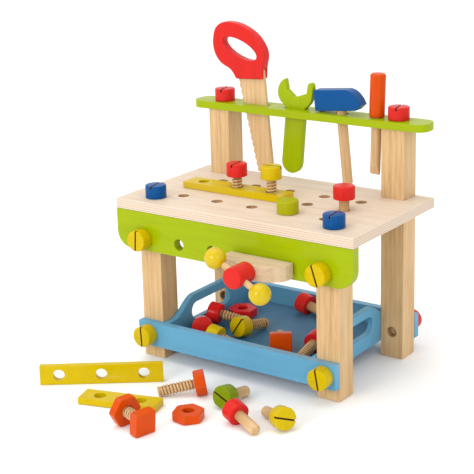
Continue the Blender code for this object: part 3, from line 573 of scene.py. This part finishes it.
def subtract(item, bm, material_index):
    """Cuts the solid in `bm`, in the piece's own space, out of the piece."""
    for face in bm.faces:
        face.material_index = material_index
    mesh = bpy.data.meshes.new("cutter")
    bm.to_mesh(mesh)
    bm.free()
    for material in item.data.materials:
        mesh.materials.append(material)
    cutter = bpy.data.objects.new("cutter", mesh)
    bpy.context.scene.collection.objects.link(cutter)
    cutter.matrix_world = item.matrix_world
    modifier = item.modifiers.new("cut", "BOOLEAN")
    modifier.operation = "DIFFERENCE"
    modifier.object = cutter
    bpy.context.view_layer.update()
    result = bpy.data.meshes.new_from_object(item.evaluated_get(bpy.context.evaluated_depsgraph_get()))
    item.modifiers.clear()
    item.data = result
    bpy.data.objects.remove(cutter)
    result.shade_smooth()
    result.set_sharp_from_angle(angle=SHARP_TURN)


# ---------------------------------------------------------------- turned pieces

def cornered_rings(corners, height, radius):
    """A hexagonal or square head or nut, bevelled at both rims."""
    shape = polygon_radius(corners, radius)
    inset = polygon_radius(corners, radius, 1 - CORNER_RIM / radius)
    return [(0, inset, 0), (CORNER_RIM, shape, 0), (height - CORNER_RIM, shape, 0), (height, inset, 0)]


def head_rings(name, height, radius):
    if name in CORNERS:
        return cornered_rings(CORNERS[name], height, radius)
    return (fillet(radius, UNDER_FILLET, UNDER_FILLET, -90, 0, 0)
            + fillet(radius, height - HEAD_FILLET, HEAD_FILLET, 0, 90, 0))


def wooden_bolt(name, shaft_radius):
    """A painted head on a bare shaft, as one solid."""
    matrix, height, length, radius, slotted = turned_frame(name)
    major = shaft_radius + THREAD_PROUD
    rings = fillet(shaft_radius, TIP_FILLET - length, TIP_FILLET, -TIP_END, 0, 2)
    if name in THREADED:
        rings += thread(major, THREAD_DEPTH, THREAD_PITCH, rings[-1][0] + THREAD_START, -THREAD_END, 2)
    rings.append((0, shaft_radius - NECK, 0))
    rings += head_rings(name, height, radius)
    materials = [look(name), SLOT_SHADE_WOOD, finish_of("bare_beech"), finish_of("groove_wood")]
    item = add_piece(f"{name}_turned", ringed(rings), materials, matrix, name)
    if name in THREADED:
        shade_grooves(item, major, 2 * TIP_FILLET - length, -GROOVE_END)
    if slotted:
        saw_slot(item, height, radius)


def wooden_nut(name, hole):
    """A hexagonal nut with a rounded thread in its hole."""
    matrix, height, _, radius, _ = turned_frame(name)
    rings = cornered_rings(6, height, radius) + [(height, hole + NUT_CHAMFER, 0)]
    inner = thread(hole + NUT_THREAD, NUT_THREAD, THREAD_PITCH, NUT_CHAMFER, height - NUT_CHAMFER, 0)
    rings += inner[::-1] + [(0, hole + NUT_CHAMFER, 0)]
    add_piece(f"{name}_turned", ringed(rings, closed=True), [look(name)], matrix, name)


def facing_front(name):
    """A frame in the middle of a node's box, its Z towards the front: (matrix, half length, radius)."""
    low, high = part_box(name)
    half = (high - low) / 2
    matrix = Matrix(((1, 0, 0), (0, 0, 1), (0, -1, 0))).transposed().to_4x4()
    matrix.translation = (low + high) / 2
    return matrix, half.y, min(half.x, half.z)


def between_balls():
    """The vise handle's frame: its Z runs from the left ball to the right one."""
    left = sum(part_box("vise_ball_left"), Vector()) / 2
    right = sum(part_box("vise_ball_right"), Vector()) / 2
    axis = (right - left).normalized()
    side = Vector((0, 1, 0))
    matrix = Matrix((side, axis.cross(side), axis)).transposed().to_4x4()
    matrix.translation = (left + right) / 2
    return matrix, (right - left).length / 2


def rod(name, matrix, half, radius, end):
    """A bare stick along its frame's Z, rounded by `end` at both ends."""
    rings = (fillet(radius, end - half, end, -TIP_END, 0, 0) + fillet(radius, half - end, end, 0, TIP_END, 0))
    add_piece(f"{name}_stick", ringed(rings), [finish_of("bare_beech")], matrix, name)


def vise_ball(side, place, radius, hole):
    """A ball from the rim of its hole over to the far side."""
    start = -math.acos(hole / radius)
    rings = [(-BALL_SOCKET, hole, 0)]
    for step in range(BALL_STEPS + 1):
        turn = start + (BALL_TOP - start) * step / BALL_STEPS
        rings.append((radius * math.sin(turn), radius * math.cos(turn), 0))
    name = f"vise_ball_{side}"
    add_piece(f"{name}_turned", ringed(rings), [finish_of("ball_paint")], place, name)


def vise():
    matrix, half, radius = facing_front("vise_hub")
    back, front = HUB_FILLETS
    rings = fillet(radius, back - half, back, -90, 0, 0) + fillet(radius, half - front, front, 0, 90, 0)
    # the hub's bore gets the slot's painted shade
    hub = add_piece("vise_hub_turned", ringed(rings), [finish_of("red_paint"), SLOT_SHADE_WOOD], matrix, "vise_hub")
    across, reach = between_balls()
    low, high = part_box("vise_handle")
    stick = (high.y - low.y) / 2
    hole = ringed([(-HUB_REACH, stick + HANDLE_PLAY, 0), (HUB_REACH, stick + HANDLE_PLAY, 0)])
    hole.transform(matrix.inverted() @ across)
    subtract(hub, hole, 1)
    rod("vise_handle", across, reach - HANDLE_SHORT, stick, HANDLE_FILLET)
    low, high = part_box("vise_ball_left")
    for side, sign in (("left", -1), ("right", 1)):
        turn_over = Matrix.Rotation(math.radians(90 - 90 * sign), 4, "X")
        place = across @ Matrix.Translation((0, 0, sign * reach)) @ turn_over
        vise_ball(side, place, (high.y - low.y) / 2, stick + BALL_PLAY)
    matrix, half, radius = facing_front("vise_spindle")
    major = radius + SPINDLE_PROUD
    core = radius - SPINDLE_CORE
    rings = fillet(core, TIP_FILLET - half, TIP_FILLET, -TIP_END, 0, 0)
    rings += thread(major, THREAD_DEPTH, SPINDLE_PITCH, rings[-1][0] + SPINDLE_START, half - PLAIN_END, 0)
    rings += [(half - SPINDLE_NECK, core, 0), (half, core, 0)]
    materials = [finish_of("bare_beech"), finish_of("groove_wood")]
    item = add_piece("vise_spindle_turned", ringed(rings), materials, matrix, "vise_spindle")
    shade_grooves(item, major, 2 * TIP_FILLET - half, half - PLAIN_END)


def leaning(name, body):
    """A hanging tool's turned piece: Z runs up along the way that its joint slides."""
    joint = next(joint for joint in frame["joints"] if joint["child"] == body)
    axis = Vector(joint["axis"]).normalized()
    side = Vector((0, 1, 0))
    low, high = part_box(name)
    matrix = Matrix((side.cross(axis), side, axis)).transposed().to_4x4()
    matrix.translation = (low + high) / 2
    radius = (high.y - low.y) / 2
    lean = math.acos(min(1.0, axis.z))
    length = ((high.z - low.z) - 2 * radius * math.sin(lean)) / math.cos(lean)
    return matrix, length / 2, radius


def tool_sticks():
    matrix, half, radius = leaning("hammer_handle", "hammer")
    rod("hammer_handle", matrix, half, radius, HAMMER_FILLET)
    matrix, half, radius = leaning("screwdriver_handle", "screwdriver")
    low, high = DRIVER_FILLETS
    rings = fillet(radius, low - half, low, -90, 0, 0) + fillet(radius, half - high, high, 0, 90, 0)
    add_piece("screwdriver_handle_turned", ringed(rings), [finish_of("orange_paint")], matrix,
              "screwdriver_handle")


# ---------------------------------------------------------------- the set

# the dark wood of slots and of the hub's bore: painted shade
SLOT_SHADE_WOOD = shaded_slot()

for shape in ROUNDED:
    rounded(shape)

spindle_low, spindle_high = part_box("vise_spindle")
SHAFT_RADIUS = (spindle_high.x - spindle_low.x) / 2
NUTS = [name for name in NODES if "_nut" in name]
BOLTS = [name for name in NODES if (name.endswith("bolt") or "_bolt_" in name or name.endswith("peg"))
         and name not in NUTS]
for bolt in BOLTS:
    wooden_bolt(bolt, SHAFT_RADIUS)
for nut in NUTS:
    wooden_nut(nut, SHAFT_RADIUS + NUT_PLAY)
vise()
tool_sticks()


# ---------------------------------------------------------------- floor, light and camera

FLOOR_HALF = 6.0
FLOOR_DROP = 0.0005     # under the feet, so that no two surfaces share a plane
FLOOR_GREY = 0.96
FLOOR_ROUGHNESS = 0.9
SKY = 1.05
AIM = (0, 0, 0.15)

# each soft light: name, place, side in metres, watts
SOFTBOXES = (
    ("key_light", (-0.20, -1.9, 0.95), 0.65, 13.0),
    ("side_light", (1.8, -1.1, 0.9), 0.5, 3.0),
    ("top_light", (-0.3, -0.1, 1.7), 1.4, 8.0),
)

# degrees round from the front, up, and rolled; the place is from the middle of the bench top's plan
CAMERA_AZIMUTH, CAMERA_ELEVATION, CAMERA_ROLL = 35.48, 15.086, -1.529
CAMERA_PLACE = (0.8402, -1.2536, 0.6179)
CAMERA_LENS, CAMERA_SENSOR, CAMERA_SHIFT = 99.48, 36.0, -0.10


def studio_floor():
    bm = bmesh.new()
    bmesh.ops.create_grid(bm, x_segments=1, y_segments=1, size=FLOOR_HALF)
    mesh = bpy.data.meshes.new("studio_floor")
    bm.to_mesh(mesh)
    bm.free()
    material, _, shader = new_material("studio_floor")
    shader.inputs["Base Color"].default_value = (FLOOR_GREY, FLOOR_GREY, FLOOR_GREY, 1.0)
    shader.inputs["Roughness"].default_value = FLOOR_ROUGHNESS
    mesh.materials.append(material)
    floor = bpy.data.objects.new("studio_floor", mesh)
    bpy.context.scene.collection.objects.link(floor)
    floor.location.z = -FLOOR_DROP


def softbox(name, place, size, power):
    light = bpy.data.lights.new(name, "AREA")
    light.shape = "SQUARE"
    light.size = size
    light.energy = power
    lamp = bpy.data.objects.new(name, light)
    bpy.context.scene.collection.objects.link(lamp)
    lamp.location = place
    lamp.rotation_euler = (Vector(AIM) - Vector(place)).to_track_quat("-Z", "Y").to_euler()


def studio():
    studio_floor()
    for box in SOFTBOXES:
        softbox(*box)
    world = bpy.data.worlds.new("studio")
    bpy.context.scene.world = world
    world.use_nodes = True
    background = world.node_tree.nodes["Background"]
    background.inputs["Color"].default_value = (1.0, 1.0, 1.0, 1.0)
    background.inputs["Strength"].default_value = SKY
    bpy.context.scene.view_settings.view_transform = "Standard"


def camera():
    """A long lens from the front right, a little above the bench top."""
    azimuth, elevation = math.radians(CAMERA_AZIMUTH), math.radians(CAMERA_ELEVATION)
    back = Vector((math.sin(azimuth) * math.cos(elevation), -math.cos(azimuth) * math.cos(elevation),
                   math.sin(elevation)))
    data = bpy.data.cameras.new("camera")
    data.sensor_width = CAMERA_SENSOR
    data.lens = CAMERA_LENS
    data.shift_y = CAMERA_SHIFT
    item = bpy.data.objects.new("camera", data)
    bpy.context.scene.collection.objects.link(item)
    item.rotation_mode = "QUATERNION"
    roll = Matrix.Rotation(math.radians(CAMERA_ROLL), 4, "Z").to_quaternion()
    item.rotation_quaternion = back.to_track_quat("Z", "Y") @ roll
    low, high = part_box("bench_top")
    item.location = Vector(CAMERA_PLACE) + Vector(((low.x + high.x) / 2, (low.y + high.y) / 2, 0))
    bpy.context.scene.camera = item


studio()
camera()
